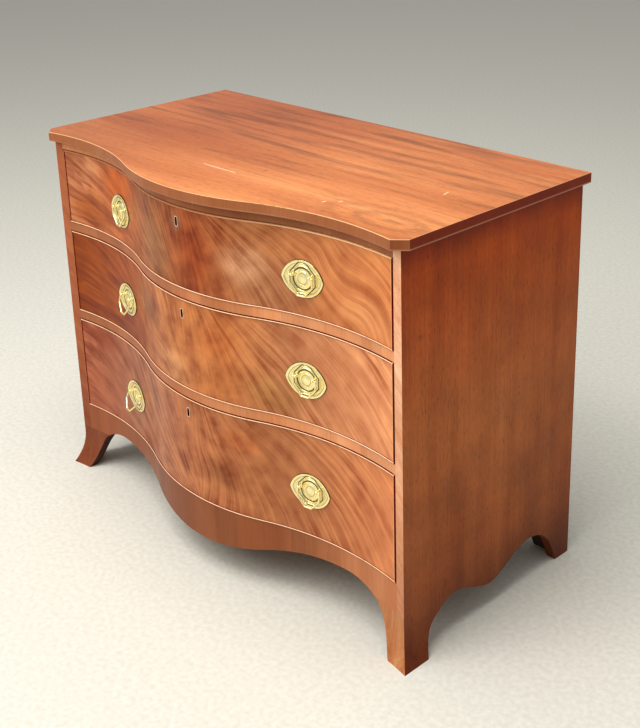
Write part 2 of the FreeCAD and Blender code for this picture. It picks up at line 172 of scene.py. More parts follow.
def with_side_grain(tree, place, colour):
    # faces that lie in the plane of a side carry the side's own grain across the joint
    normal = tree.nodes["Texture Coordinate"].outputs["Normal"]
    outward = add(tree, "SeparateXYZ", {0: normal}).outputs["X"]
    outward = add(tree, "Math", {0: outward}, operation="ABSOLUTE").outputs[0]
    outward = add(tree, "Math", {0: outward, 1: 0.7}, operation="GREATER_THAN").outputs[0]
    side_colour = side_figure(tree, place)[0]
    colour = add(tree, "Mix", {0: outward, 6: colour, 7: side_colour}, data_type="RGBA").outputs[2]

    # Faces turned to the middle of the case, as in the gaps beside the drawers, are painted dark as shade
    painted_gap_shade = add(tree, "VectorMath", {0: normal, 1: place}, operation="MULTIPLY").outputs[0]
    painted_gap_shade = add(tree, "SeparateXYZ", {0: painted_gap_shade}).outputs["X"]
    painted_gap_shade = add(tree, "Math", {0: painted_gap_shade, 1: -0.35}, operation="LESS_THAN").outputs[0]
    return add(tree, "Mix", {0: painted_gap_shade, 6: colour, 7: linear("#3a120a")}, data_type="RGBA").outputs[2]


side_wood, tree, surface, place = finish_of("french_polished_mahogany_side", **french_polish)
colour, lines = side_figure(tree, place)
polish(tree, surface, colour, lines, (0.36, 0.5))
dress(side_wood, "left_side", "right_side")


# The inner boards
# Bottom, dustboards, kickers, stops, glue blocks, rear brackets and back boards are pine, left from the
# plane. The wood has darkened to a dull brown, with straight grain along the boards.
back_low = 0.1
back_board_height = 0.24317
pine_stops = [(0.0, "#644228"), (0.4, "#86603c"), (0.7, "#a0764a"), (1.0, "#b48a5a")]
board_runs = {
    "bare_pine_across": (0, "#ffffff", ("back_boards", "bottom_board", "upper_dustboard", "lower_dustboard",
                                        "top_back_rail", "glue_blocks", "drawer_stops")),
    "bare_pine_lengthwise": (1, "#ffffff", ("top_kickers",)),
    "dirty_pine_upright": (2, "#6c5444", ("rear_foot_brackets",)),
}
for name, (along, dirt, boards) in board_runs.items():
    pine, tree, surface, place = finish_of(name, IOR=1.5)
    # The back is made of three boards, each with its own grain, and their joints are open hairlines
    height = add(tree, "SeparateXYZ", {0: place}).outputs["Z"]
    board = add(tree, "Math", {0: height, 1: back_low}, operation="SUBTRACT").outputs[0]
    board = add(tree, "Math", {0: board, 1: back_board_height}, operation="DIVIDE").outputs[0]
    own = add(tree, "Math", {0: board}, operation="FLOOR").outputs[0]
    own = add(tree, "Math", {0: own, 1: 7.3, 2: 7.7 + along}, operation="MULTIPLY_ADD").outputs[0]
    colour, lines = grain(tree, place, along, pine_stops, band=0.03, line=0.003, wander=0.03, seed=own)
    joint = add(tree, "Math", {0: board, 1: 0.5}, operation="PINGPONG").outputs[0]
    joint = add(tree, "MapRange", {"Value": joint, "From Min": 0.004, "From Max": 0.008,
                                   "To Min": 0.2}).outputs[0]
    colour = tinted(tree, colour, joint)
    polish(tree, surface, tinted(tree, colour, linear(dirt)), lines, (0.62, 0.8), 0.2)
    dress(pine, *boards)


# The rails, stiles and apron
# Pine and mahogany members faced with crossbanding: short strips of veneer with the grain upright.
# Neighbouring strips differ a little in tone, so the bands look patchy along their length.
crossband_stops = [(0.0, "#b8683d"), (0.35, "#d58656"), (0.65, "#e89e6c"), (1.0, "#fabb8e")]
strip_width = 0.06
band_half = 0.54
stile_inner_edge = 0.5152
stile_stops = [(0.0, "#ce885c"), (0.4, "#de9e75"), (0.7, "#eab289"), (1.0, "#f4c5a0")]


def stile_figure(tree, place):
    # the stiles are paler than the bands, with the grain a little off the upright; the left stile is painted
    # darker as shade, and they are darker towards the floor
    turned = add(tree, "Mapping", {"Vector": place, "Rotation": (0.0, 0.9, 0.0)}).outputs["Vector"]
    colour, lines = grain(tree, turned, 2, stile_stops, band=0.03, line=0.004, wander=0.02, seed=5.9,
                          length=7.0, soft=0.3, pore=0.8)
    spot = add(tree, "SeparateXYZ", {0: place}).outputs
    left = add(tree, "Math", {0: spot["X"], 1: 0.0}, operation="LESS_THAN").outputs[0]
    colour = tinted(tree, colour, linear("#ba8f77"), left)
    lower = add(tree, "ValToRGB", {"Fac": spot["Z"]},
                [(0.1, "#d0b8a8"), (0.35, "#f4ece6"), (0.6, "#ffffff")]).outputs["Color"]
    return tinted(tree, colour, lower), lines


# For each band its tones from left to right, partly the veneer's own tone and partly painted light, lighter
# towards the right, and on the top rail painted darker as the top's shadow; then the shade of its darkest
# strip and the members that carry it; their ends go on as the stiles do
crossbands = {
    "crossbanded_mahogany_rails": (
        [(0.0, "#bba89b"), (0.45, "#ccb9aa"), (0.7, "#fbf4ee"), (0.85, "#ffffff")],
        0.8, ("upper_drawer_rail", "lower_drawer_rail")),
    "shaded_crossbanded_mahogany": (
        [(0.0, "#f4f2f0"), (0.25, "#e5d8cc"), (0.45, "#bbaa9c"), (0.7, "#b09d8e"), (1.0, "#c7b4a8")],
        0.85, ("top_front_rail",)),
    "crossbanded_mahogany_apron": (
        [(0.0, "#aa8c7a"), (0.45, "#9d826c"), (0.7, "#a58e7e"), (1.0, "#e4d8d0")],
        0.8, ("apron",)),
}
for name, (tones, darkest, members) in crossbands.items():
    crossband, tree, surface, place = finish_of(name, **french_polish)
    colour, lines = grain(tree, place, 2, crossband_stops, band=0.05, line=0.004, wander=0.012, seed=11.3,
                          length=7.0, soft=0.6, pore=0.88)
    spot = add(tree, "SeparateXYZ", {0: place}).outputs
    # Strips about 60 mm wide, each cut from another part of the sheet; the strips of each member differ
    strip = add(tree, "Math", {0: spot["X"], 1: strip_width}, operation="DIVIDE").outputs[0]
    member = add(tree, "Math", {0: spot["Z"], 1: 4.0}, operation="MULTIPLY").outputs[0]
    strip, member = [add(tree, "Math", {0: value}, operation="FLOOR").outputs[0]
                     for value in (strip, member)]
    strip = add(tree, "Math", {0: member, 1: 31.0, 2: strip}, operation="MULTIPLY_ADD").outputs[0]
    strip = add(tree, "TexWhiteNoise", {"W": strip}, noise_dimensions="1D").outputs["Value"]
    strip = add(tree, "MapRange", {"Value": strip, "To Min": darkest}).outputs[0]
    colour = tinted(tree, colour, strip)
    sideways = add(tree, "MapRange", {"Value": spot["X"], "From Min": -band_half,
                                      "From Max": band_half}).outputs[0]
    colour = tinted(tree, colour, add(tree, "ValToRGB", {"Fac": sideways}, tones).outputs["Color"])
    beyond = add(tree, "Math", {0: spot["X"]}, operation="ABSOLUTE").outputs[0]
    beyond = add(tree, "Math", {0: beyond, 1: stile_inner_edge}, operation="GREATER_THAN").outputs[0]
    colour = add(tree, "Mix", {0: beyond, 6: colour, 7: stile_figure(tree, place)[0]},
                 data_type="RGBA").outputs[2]
    polish(tree, surface, with_side_grain(tree, place, colour), lines, (0.3, 0.44))
    dress(crossband, *members)

stile_wood, tree, surface, place = finish_of("stile_mahogany_veneer", **french_polish)
colour, lines = stile_figure(tree, place)
polish(tree, surface, with_side_grain(tree, place, colour), lines, (0.3, 0.44))
dress(stile_wood, "left_front_stile", "right_front_stile")


# The front feet
# Each splayed foot is glued up from mahogany and shaped with a spokeshave, the toe flaring outwards.
# Its grain runs down the foot.
foot_stops = [(0.0, "#8c4a28"), (0.4, "#ac683c"), (0.7, "#ba7a4c"), (1.0, "#ca9264")]
foot_wood, tree, surface, place = finish_of("shaped_mahogany_foot", **french_polish)
colour, lines = grain(tree, place, 2, foot_stops, band=0.03, line=0.004, wander=0.02, seed=15.1,
                      length=8.0, soft=0.3, pore=0.75)
spot = add(tree, "SeparateXYZ", {0: place}).outputs
# The left foot is painted darker as shade
left = add(tree, "Math", {0: spot["X"], 1: 0.0}, operation="LESS_THAN").outputs[0]
colour = tinted(tree, colour, linear("#b2918a"), left)
polish(tree, surface, with_side_grain(tree, place, colour), lines, (0.34, 0.5))
dress(foot_wood, "left_front_foot", "right_front_foot")


# The top
# One wide board of mahogany, grain lengthwise, with the serpentine front edge and canted corners.
# Its edge is crossbanded like the rails. The screws of the top rails hold it from below.
top_underside = 0.8295
top_face = 0.85
top_stops = [(0.0, "#ac5c2a"), (0.35, "#c6753e"), (0.65, "#d8884e"), (1.0, "#eaa166")]
top_wood, tree, surface, place = finish_of("french_polished_mahogany_top", **french_polish)
face_colour, lines = grain(tree, place, 0, top_stops, band=0.06, line=0.005, wander=0.05, seed=21.4)
spot = add(tree, "SeparateXYZ", {0: place}).outputs

# Dark heartwood streaks about 12 mm wide and 300 mm long, thicker towards the back
slant = add(tree, "Mapping", {"Vector": place, "Rotation": (0.0, 0.0, 0.1), "Scale": (3.4, 42.0, 1.0)})
streak = add(tree, "TexNoise", {"Vector": slant.outputs[0], "Scale": 1.0, "Detail": 4.0,
                                "Distortion": 0.3}).outputs["Fac"]
behind = add(tree, "MapRange", {"Value": spot["Y"], "From Min": -0.14, "From Max": 0.1,
                                "To Min": -0.12, "To Max": 0.04}).outputs[0]
streak = add(tree, "Math", {0: streak, 1: behind}, operation="ADD").outputs[0]
streak = add(tree, "MapRange", {"Value": streak, "From Min": 0.5, "From Max": 0.72,
                                "To Min": 1.0, "To Max": 0.55}).outputs[0]
face_colour = tinted(tree, face_colour, streak)

# A swirl of figure in the front right corner, rings about 14 mm apart that fade outwards
swirl = add(tree, "VectorMath", {0: place, 1: (0.47, -0.165, top_face)}, operation="SUBTRACT").outputs[0]
swirl = add(tree, "VectorMath", {0: swirl, 1: (0.38, 1.0, 0.0)}, operation="MULTIPLY").outputs[0]
rings = add(tree, "TexWave", {"Vector": swirl, "Scale": 11.0, "Distortion": 3.0, "Detail": 2.0,
                              "Detail Scale": 6.0}, wave_type="RINGS", rings_direction="Z").outputs["Fac"]
reach = add(tree, "VectorMath", {0: swirl}, operation="LENGTH").outputs["Value"]
reach = add(tree, "MapRange", {"Value": reach, "From Min": 0.03, "From Max": 0.1,
                               "To Min": 0.7, "To Max": 0.0}).outputs[0]
rings = add(tree, "MapRange", {"Value": rings, "To Min": 0.6}).outputs[0]
face_colour = tinted(tree, face_colour, rings, reach)

# Painted shade: the board is darker towards the back, the left and the left front corner
painted_shade_tones = (
    (spot["Y"], -0.25, 0.3, [(0.0, "#ffffff"), (0.45, "#eee6e2"), (1.0, "#e6d8d2")]),
    (spot["X"], -0.56, 0.56, [(0.0, "#e2d2c8"), (0.25, "#d6c4ba"), (0.5, "#ece2dc"), (0.65, "#ffffff")]),
)
for run, start, end, tones in painted_shade_tones:
    share = add(tree, "MapRange", {"Value": run, "From Min": start, "From Max": end}).outputs[0]
    painted_shade = add(tree, "ValToRGB", {"Fac": share}, tones).outputs["Color"]
    face_colour = tinted(tree, face_colour, painted_shade)
corner = add(tree, "VectorMath", {0: place, 1: (-0.54, -0.22, top_face)},
             operation="DISTANCE").outputs["Value"]
corner = add(tree, "MapRange", {"Value": corner, "From Min": 0.08, "From Max": 0.3,
                                "To Min": 0.78}).outputs[0]
face_colour = tinted(tree, face_colour, corner)

# Small marks of use: one long pale scratch, short pale nicks and dark specks, each with its two ends,
# its half width and its colour
marks = [
    ((-0.059, -0.155), (0.038, -0.154), 0.0012, "#fbdcb4"),
    ((0.302, -0.167), (0.304, -0.160), 0.0016, "#f8dcb8"),
    ((0.324, -0.146), (0.326, -0.139), 0.0014, "#f8dcb8"),
    ((0.437, 0.010), (0.433, 0.027), 0.0014, "#f6d2a4"),
    ((0.071, -0.106), (0.076, -0.103), 0.0024, "#6b3216"),
    ((0.339, -0.203), (0.341, -0.200), 0.0022, "#6b3216"),
]
level = add(tree, "VectorMath", {0: place, 1: (1.0, 1.0, 0.0)}, operation="MULTIPLY").outputs[0]
for start, end, width, code in marks:
    run = (end[0] - start[0], end[1] - start[1], 0.0)
    span = run[0] ** 2 + run[1] ** 2
    away = add(tree, "VectorMath", {0: level, 1: (*start, 0.0)}, operation="SUBTRACT").outputs[0]
    share = add(tree, "VectorMath", {0: away, 1: run}, operation="DOT_PRODUCT").outputs["Value"]
    share = add(tree, "Math", {0: share, 1: span}, operation="DIVIDE", use_clamp=True).outputs[0]
    nearest = add(tree, "VectorMath", {0: run, "Scale": share}, operation="SCALE").outputs[0]
    gap = add(tree, "VectorMath", {0: away, 1: nearest}, operation="DISTANCE").outputs["Value"]
    mark = add(tree, "MapRange", {"Value": gap, "From Min": width * 0.4, "From Max": width,
                                  "To Min": 0.9, "To Max": 0.0}).outputs[0]
    face_colour = add(tree, "Mix", {0: mark, 6: face_colour, 7: linear(code)}, data_type="RGBA").outputs[2]

# The edge is crossbanded, with its ends painted darker as shade and painted highlights on both arrises
edge_colour = grain(tree, place, 2, crossband_stops, band=0.05, line=0.004, wander=0.012, seed=31.3,
                    length=7.0, soft=0.6, pore=0.9)[0]
normal = add(tree, "SeparateXYZ", {0: tree.nodes["Texture Coordinate"].outputs["Normal"]}).outputs
endward = add(tree, "Math", {0: normal["X"]}, operation="ABSOLUTE").outputs[0]
painted_light_and_shade = add(tree, "ValToRGB", {"Fac": endward}, [(0.6, "#ae9d8e"), (0.9, "#904400")]).outputs["Color"]
edge_colour = tinted(tree, edge_colour, painted_light_and_shade)
painted_arris_highlight = add(tree, "MapRange", {"Value": spot["Z"], "From Min": top_underside,
                               "From Max": top_face}).outputs[0]
painted_arris_highlight = add(tree, "ValToRGB", {"Fac": painted_arris_highlight},
            [(0.0, "#3c3c3c"), (0.05, "#8c8c8c"), (0.08, "#000000"), (0.93, "#000000"), (0.96, "#e6e6e6")])
front = add(tree, "MapRange", {"Value": endward, "From Min": 0.6, "From Max": 0.9,
                               "To Min": 0.8, "To Max": 0.0}).outputs[0]
painted_arris_highlight = add(tree, "Math", {0: painted_arris_highlight.outputs["Color"], 1: front}, operation="MULTIPLY").outputs[0]
edge_colour = add(tree, "Mix", {0: painted_arris_highlight, 6: edge_colour, 7: linear("#f6bf8a")},
                  data_type="RGBA").outputs[2]
# A painted highlight on the lower arris of the ends
painted_lower_arris_light = add(tree, "MapRange", {"Value": spot["Z"], "From Min": 0.8335, "From Max": 0.8315,
                                    "To Max": 0.6}).outputs[0]
painted_lower_arris_light = add(tree, "Math", {0: painted_lower_arris_light, 1: endward}, operation="MULTIPLY").outputs[0]
edge_colour = add(tree, "Mix", {0: painted_lower_arris_light, 6: edge_colour, 7: linear("#c48c6c")},
                  data_type="RGBA").outputs[2]
on_face = add(tree, "MapRange", {"Value": spot["Z"], "From Min": 0.84985, "From Max": 0.84996})
colour = add(tree, "Mix", {0: on_face.outputs[0], 6: edge_colour, 7: face_colour},
             data_type="RGBA").outputs[2]
polish(tree, surface, colour, lines, (0.28, 0.38))
dress(top_wood, "top_board")

# Blackened iron screws, dull and slightly rusted
screw_iron, tree, surface, place = finish_of("blackened_iron", Metallic=1.0)
rust = add(tree, "TexNoise", {"Vector": place, "Scale": 400.0, "Detail": 4.0}).outputs["Fac"]
colour = add(tree, "ValToRGB", {"Fac": rust}, [(0.3, "#3a3532"), (0.7, "#6b4a35")]).outputs["Color"]
polish(tree, surface, colour, rust, (0.45, 0.7), 0.2)
dress(screw_iron, "top_screws")


# The drawer linings
# Sides, back and bottom of each drawer are thin oak, dovetailed and left bare.
# Oak gives a warm tan with long dark pores and an even, dry sheen.
oak_stops = [(0.0, "#84603e"), (0.35, "#a67e54"), (0.65, "#c0986c"), (1.0, "#d2b086")]
linings = {
    "bare_oak_lengthwise": (1, ("left_side", "right_side")),
    "bare_oak_across": (0, ("back", "bottom")),
}
for name, (along, boards) in linings.items():
    oak, tree, surface, place = finish_of(name, IOR=1.5)
    colour, lines = grain(tree, place, along, oak_stops, band=0.02, line=0.0025, wander=0.015,
                          seed=41.0 + along)
    polish(tree, surface, colour, lines, (0.55, 0.72), 0.2)
    for drawer in ("upper", "middle", "lower"):
        dress(oak, *[drawer + "_drawer_" + board for board in boards])


# The drawer fronts
# A curved core faced with a single sheet of crotch veneer. The figure fans out to the left in feathers
# from a root under the sheet, and to the right it falls in long plumes from a point above the keyhole.
front_half = 0.515
core_stops = [(0.0, "#7a5434"), (0.5, "#95704a"), (1.0, "#b08a60")]
stroke_stops = [(0.0, "#7c4c30"), (0.3, "#b88c70"), (0.5, "#dcc6b8"), (0.75, "#fff0e0"), (1.0, "#ffffff")]
# For each sheet: the root, the point above, the seed, the colours from left to right, a curl (middle, turn,
# reach) and patches of other colour (middle, half sizes, colour, strength), all in metres and radians
fronts = {
    "upper": ((0.02, 0.60), (0.0, 0.87), 2.0,
              [(0.0, "#d08e66"), (0.22, "#c8743c"), (0.4, "#a86838"),
               (0.54, "#b06030"), (0.68, "#c08254"), (1.0, "#f0a062")],
              ((0.42, 0.70), 0.6, 0.13),
              [(0.0, 0.777, 0.022, 0.022, "#a4846e", 0.6),
               (-0.29, 0.76, 0.09, 0.05, "#d66c10", 0.85),
               (-0.42, 0.68, 0.11, 0.05, "#a2541a", 0.85),
               (-0.46, 0.775, 0.07, 0.04, "#d69a72", 0.7),
               (-0.08, 0.70, 0.06, 0.08, "#a07448", 0.6),
               (0.05, 0.72, 0.05, 0.08, "#a44c18", 0.7),
               (0.22, 0.68, 0.1, 0.07, "#b88460", 0.6),
               (0.16, 0.72, 0.055, 0.05, "#dcab84", 0.8),
               (0.45, 0.67, 0.09, 0.04, "#f0b078", 0.5)]),
    "middle": ((0.03, 0.38), (0.01, 0.68), 5.0,
               [(0.0, "#944604"), (0.25, "#ac5616"), (0.45, "#cc864e"),
                (0.62, "#cc844c"), (0.75, "#cc8e62"), (1.0, "#ffb884")],
               ((-0.10, 0.50), 0.5, 0.12),
               [(-0.14, 0.55, 0.07, 0.06, "#8a5428", 0.6),
                (-0.04, 0.45, 0.07, 0.06, "#dca672", 0.7),
                (0.10, 0.55, 0.06, 0.05, "#c8682c", 0.35),
                (0.22, 0.46, 0.07, 0.05, "#b4844e", 0.6)]),
    "lower": ((0.03, 0.12), (0.01, 0.47), 9.0,
              [(0.0, "#b46a4c"), (0.22, "#b47454"), (0.4, "#bc7c54"),
               (0.55, "#c27e50"), (0.72, "#be8054"), (1.0, "#ec9e68")],
              ((0.05, 0.25), 0.35, 0.12),
              [(-0.43, 0.355, 0.08, 0.03, "#9c4820", 0.7),
               (-0.22, 0.20, 0.03, 0.03, "#923e1e", 0.6),
               (-0.30, 0.25, 0.07, 0.06, "#ac7c58", 0.5),
               (0.08, 0.235, 0.055, 0.04, "#96603a", 0.6),
               (0.14, 0.33, 0.05, 0.03, "#c87440", 0.5)]),
}
for drawer, (root, source, seed, tones, curl, patches) in fronts.items():
    veneer, tree, surface, place = finish_of("flame_mahogany_" + drawer, **french_polish)

    # Slow wander of the figure, about 20 mm, with a finer one of about 4 mm, then the curl
    bent = place
    for scale, reach in ((3.0, 0.06), (18.0, 0.007)):
        drift = add(tree, "TexNoise", {"Vector": place, "W": seed, "Scale": scale, "Detail": 0.0},
                    noise_dimensions="4D").outputs["Color"]
        drift = add(tree, "VectorMath", {0: drift, 1: (0.5, 0.5, 0.5)}, operation="SUBTRACT").outputs[0]
        bent = add(tree, "VectorMath", {0: drift, 1: (reach, 0.0, reach), 2: bent},
                   operation="MULTIPLY_ADD").outputs[0]
    level = add(tree, "VectorMath", {0: bent, 1: (1.0, 0.0, 1.0)}, operation="MULTIPLY").outputs[0]
    middle, turn, reach = (curl[0][0], 0.0, curl[0][1]), curl[1], curl[2]
    away = add(tree, "VectorMath", {0: level, 1: middle}, operation="DISTANCE").outputs["Value"]
    away = add(tree, "MapRange", {"Value": away, "From Max": reach, "To Min": turn, "To Max": 0.0},
               interpolation_type="SMOOTHSTEP").outputs[0]
    turned = add(tree, "VectorRotate", {"Vector": level, "Center": middle, "Angle": away},
                 rotation_type="Y_AXIS").outputs[0]

    # Angle about a point and distance from it: the feathers about the root, the plumes about the point
    # above. The plumes bend down as they run out.
    paths = []
    for (x, z), bend in ((root, 0.0), (source, 0.7)):
        spot = add(tree, "VectorMath", {0: turned, 1: (x, 0.0, z)}, operation="SUBTRACT").outputs[0]
        run = add(tree, "VectorMath", {0: spot}, operation="LENGTH").outputs["Value"]
        spot = add(tree, "SeparateXYZ", {0: spot}).outputs
        angle = add(tree, "Math", {0: spot["Z"], 1: spot["X"]}, operation="ARCTAN2").outputs[0]
        angle = add(tree, "Math", {0: run, 1: bend, 2: angle}, operation="MULTIPLY_ADD").outputs[0]
        paths.append(add(tree, "CombineXYZ", {0: angle, 1: run}).outputs[0])
    fan, plume = paths

    # Broad feathers, fine streaks and thin pale lines on both sides of the root, and clouds between them
    layers = []
    for vector, size, detail in ((fan, (18.0, 5.0, 0.0), 2.0), (fan, (64.0, 12.0, 0.0), 2.0),
                                 (plume, (20.0, 2.4, 0.0), 2.0), (plume, (64.0, 6.0, 0.0), 2.0),
                                 (bent, (22.0, 22.0, 22.0), 6.0), (place, (8.0, 8.0, 8.0), 1.0)):
        run = add(tree, "VectorMath", {0: vector, 1: size}, operation="MULTIPLY").outputs[0]
        layers.append(add(tree, "TexNoise", {"Vector": run, "W": seed, "Scale": 1.0, "Detail": detail},
                          noise_dimensions="4D").outputs["Fac"])
    fan_broad, fan_fine, plume_broad, plume_fine, cloud, calm = layers
    sideways = add(tree, "SeparateXYZ", {0: bent}).outputs["X"]
    over = add(tree, "MapRange", {"Value": sideways, "From Min": -0.01, "From Max": 0.04}).outputs[0]
    broad = add(tree, "Mix", {0: over, 2: fan_broad, 3: plume_broad}).outputs[0]
    fine = add(tree, "Mix", {0: over, 2: fan_fine, 3: plume_fine}).outputs[0]
    line = add(tree, "Math", {0: broad, 1: 0.55}, operation="SUBTRACT").outputs[0]
    line = add(tree, "Math", {0: line}, operation="ABSOLUTE").outputs[0]
    line = add(tree, "MapRange", {"Value": line, "From Max": 0.05, "To Min": 0.16, "To Max": 0.0},
               interpolation_type="SMOOTHSTEP").outputs[0]
    tone = add(tree, "Math", {0: fine, 1: 0.6, 2: line}, operation="MULTIPLY_ADD").outputs[0]
    tone = add(tree, "Math", {0: broad, 1: 0.9, 2: tone}, operation="MULTIPLY_ADD").outputs[0]
    tone = add(tree, "Math", {0: tone, 1: 0.785}, operation="SUBTRACT").outputs[0]
    figure = add(tree, "MapRange", {"Value": calm, "From Min": 0.36, "From Max": 0.62,
                                    "To Min": 0.4, "To Max": 0.95}).outputs[0]
    # The figure is quieter towards the right end of the sheet
    quiet = add(tree, "MapRange", {"Value": sideways, "From Min": -0.35, "From Max": 0.05,
                                   "To Min": 0.9, "To Max": 0.55}).outputs[0]
    figure = add(tree, "Math", {0: figure, 1: quiet}, operation="MULTIPLY").outputs[0]
    tone = add(tree, "Math", {0: tone, 1: figure}, operation="MULTIPLY").outputs[0]
    cloud = add(tree, "Math", {0: cloud, 1: 0.5}, operation="SUBTRACT").outputs[0]
    cloudy = add(tree, "Math", {0: sideways}, operation="ABSOLUTE").outputs[0]
    cloudy = add(tree, "MapRange", {"Value": cloudy, "From Min": 0.1, "From Max": 0.32,
                                    "To Min": 0.8, "To Max": 0.35}).outputs[0]
    tone = add(tree, "Math", {0: cloud, 1: cloudy, 2: tone}, operation="MULTIPLY_ADD").outputs[0]
    tone = add(tree, "MapRange", {"Value": tone, "From Min": -0.335, "From Max": 0.325}).outputs[0]
    strokes = add(tree, "ValToRGB", {"Fac": tone}, stroke_stops).outputs["Color"]

    # The sheet's colours, lighter towards the right partly as its own tone and partly as painted light, with
    # soft patches, and the strokes over them
    along = add(tree, "MapRange", {"Value": sideways, "From Min": -front_half,
                                   "From Max": front_half}).outputs[0]
    colour = add(tree, "ValToRGB", {"Fac": along}, tones).outputs["Color"]
    for x, z, wide, high, code, strength in patches:
        away = add(tree, "VectorMath", {0: level, 1: (x, 0.0, z)}, operation="SUBTRACT").outputs[0]
        away = add(tree, "VectorMath", {0: away, 1: (1 / wide, 0.0, 1 / high)},
                   operation="MULTIPLY").outputs[0]
        away = add(tree, "VectorMath", {0: away}, operation="LENGTH").outputs["Value"]
        share = add(tree, "MapRange", {"Value": away, "From Min": 0.3, "From Max": 1.2,
                                       "To Min": strength, "To Max": 0.0},
                    interpolation_type="SMOOTHSTEP").outputs[0]
        colour = add(tree, "Mix", {0: share, 6: colour, 7: linear(code)}, data_type="RGBA").outputs[2]
    colour = tinted(tree, colour, strokes)

    # Only the face is veneered: the core shows behind
    core = grain(tree, place, 0, core_stops, band=0.03, line=0.003, wander=0.02, seed=seed)[0]
    normal = add(tree, "SeparateXYZ", {0: tree.nodes["Texture Coordinate"].outputs["Normal"]}).outputs
    faced = add(tree, "Math", {0: normal["Y"], 1: -0.5}, operation="LESS_THAN").outputs[0]
    colour = add(tree, "Mix", {0: faced, 6: core, 7: colour}, data_type="RGBA").outputs[2]
    polish(tree, surface, colour, fine, (0.28, 0.4))
    dress(veneer, drawer + "_drawer_front")


# The cockbeads
# Thin mahogany strips with a rounded nose, let into a rebate round each drawer front and glued.
# Painted paler than the veneer as a highlight, they draw a light line round every drawer.
bead_width = 0.003
bead_depth = 0.010
bead_proud = 0.002
nose_radius = 0.0012
bulge_radius = 0.479
flank_radius = 0.607
flank_centre_x = 0.413
bulge_centre_y = 0.1995
centre_distance = bulge_radius + flank_radius
flank_centre_y = bulge_centre_y - math.sqrt(centre_distance ** 2 - flank_centre_x ** 2)
upright_bead_edge = 0.5094
highest_bead_low = 0.803
bead_highlight_stops = [(0.0, "#f8d0a8"), (0.5, "#ffe2c0"), (1.0, "#fff0dc")]
bead_wood, tree, surface, place = finish_of("cockbead_mahogany", **french_polish)
colour, lines = grain(tree, place, 0, bead_highlight_stops, band=0.02, line=0.002, wander=0.01, seed=51.0)

# Painted by facing: the front of the nose pale as a highlight; the flat sides, in the gaps, dark as shade
normal = add(tree, "SeparateXYZ", {0: tree.nodes["Texture Coordinate"].outputs["Normal"]}).outputs
painted_light_and_shade = add(tree, "MapRange", {"Value": normal["Z"], "From Min": -1.0}).outputs[0]
painted_light_and_shade = add(tree, "ValToRGB", {"Fac": painted_light_and_shade}, [(0.15, "#6a3018"), (0.45, "#c08454"), (0.55, "#ffe8cc"),
                                               (0.85, "#ffffff"), (0.95, "#7a2c18")]).outputs["Color"]
nose = add(tree, "MapRange", {"Value": normal["Y"], "From Min": -0.25, "From Max": -0.45}).outputs[0]
painted_light_and_shade = add(tree, "Mix", {0: nose, 6: linear("#7a2012"), 7: painted_light_and_shade}, data_type="RGBA").outputs[2]

# The highest bead, under the top, is painted darker as the top's shadow, less so towards the right
spot = add(tree, "SeparateXYZ", {0: place}).outputs
shaded = add(tree, "Math", {0: spot["Z"], 1: highest_bead_low}, operation="GREATER_THAN").outputs[0]
painted_top_shadow = add(tree, "MapRange", {"Value": spot["X"], "From Min": -0.5, "From Max": 0.5}).outputs[0]
painted_top_shadow = add(tree, "ValToRGB", {"Fac": painted_top_shadow}, [(0.5, "#c08c68"), (0.9, "#ffe0c0")]).outputs["Color"]
painted_light_and_shade = add(tree, "Mix", {0: shaded, 6: painted_light_and_shade, 7: painted_top_shadow}, data_type="RGBA").outputs[2]

# On the upright beads only the side towards the drawer has a painted highlight; the rest is painted shade
upright = add(tree, "Math", {0: spot["X"]}, operation="ABSOLUTE").outputs[0]
upright = add(tree, "Math", {0: upright, 1: upright_bead_edge}, operation="GREATER_THAN").outputs[0]
painted_upright_light = add(tree, "MapRange", {"Value": normal["X"], "From Min": 0.2, "From Max": -0.1}).outputs[0]
painted_upright_light = add(tree, "Mix", {0: painted_upright_light, 6: linear("#7a2012"), 7: linear("#f0c8a0")},
             data_type="RGBA").outputs[2]
painted_light_and_shade = add(tree, "Mix", {0: upright, 6: painted_light_and_shade, 7: painted_upright_light}, data_type="RGBA").outputs[2]
polish(tree, surface, tinted(tree, colour, painted_light_and_shade), lines, (0.28, 0.4))


def serpentine_y(x):
    # depth of the drawer faces at x: a bulge between two hollow flanks
    if abs(x) < flank_centre_x * bulge_radius / centre_distance:
        return bulge_centre_y - math.sqrt(bulge_radius ** 2 - x ** 2)
    return flank_centre_y + math.sqrt(flank_radius ** 2 - (abs(x) - flank_centre_x) ** 2)


bead_tree = bpy.data.node_groups.new("cockbead_along_path", "GeometryNodeTree")
bead_inputs = {"Path": "Geometry", "Width": "Float", "Depth": "Float", "Proud": "Float", "Nose": "Float",
               "Turn": "Float", "Wood": "Material"}
for name, kind in bead_inputs.items():
    bead_tree.interface.new_socket(name, in_out="INPUT", socket_type="NodeSocket" + kind)
bead_tree.interface.new_socket("Bead", in_out="OUTPUT", socket_type="NodeSocketGeometry")
given = add(bead_tree, "NodeGroupInput").outputs
strip = add(bead_tree, "GeometryNodeCurvePrimitiveQuadrilateral",
            {"Width": given["Width"], "Height": given["Depth"]})
strip = add(bead_tree, "GeometryNodeFilletCurve",
            {"Curve": strip.outputs[0], "Count": 4, "Radius": given["Nose"]}, mode="POLY")
sunk = add(bead_tree, "Math", {0: given["Depth"], 1: -0.5, 2: given["Proud"]}, operation="MULTIPLY_ADD")
shift = add(bead_tree, "CombineXYZ", {1: sunk.outputs[0]})
strip = add(bead_tree, "GeometryNodeTransform",
            {"Geometry": strip.outputs[0], "Translation": shift.outputs[0]})
turn = add(bead_tree, "CombineXYZ", {2: given["Turn"]})
strip = add(bead_tree, "GeometryNodeTransform", {"Geometry": strip.outputs[0], "Rotation": turn.outputs[0]})
course = add(bead_tree, "GeometryNodeMeshToCurve", {"Mesh": given["Path"]})
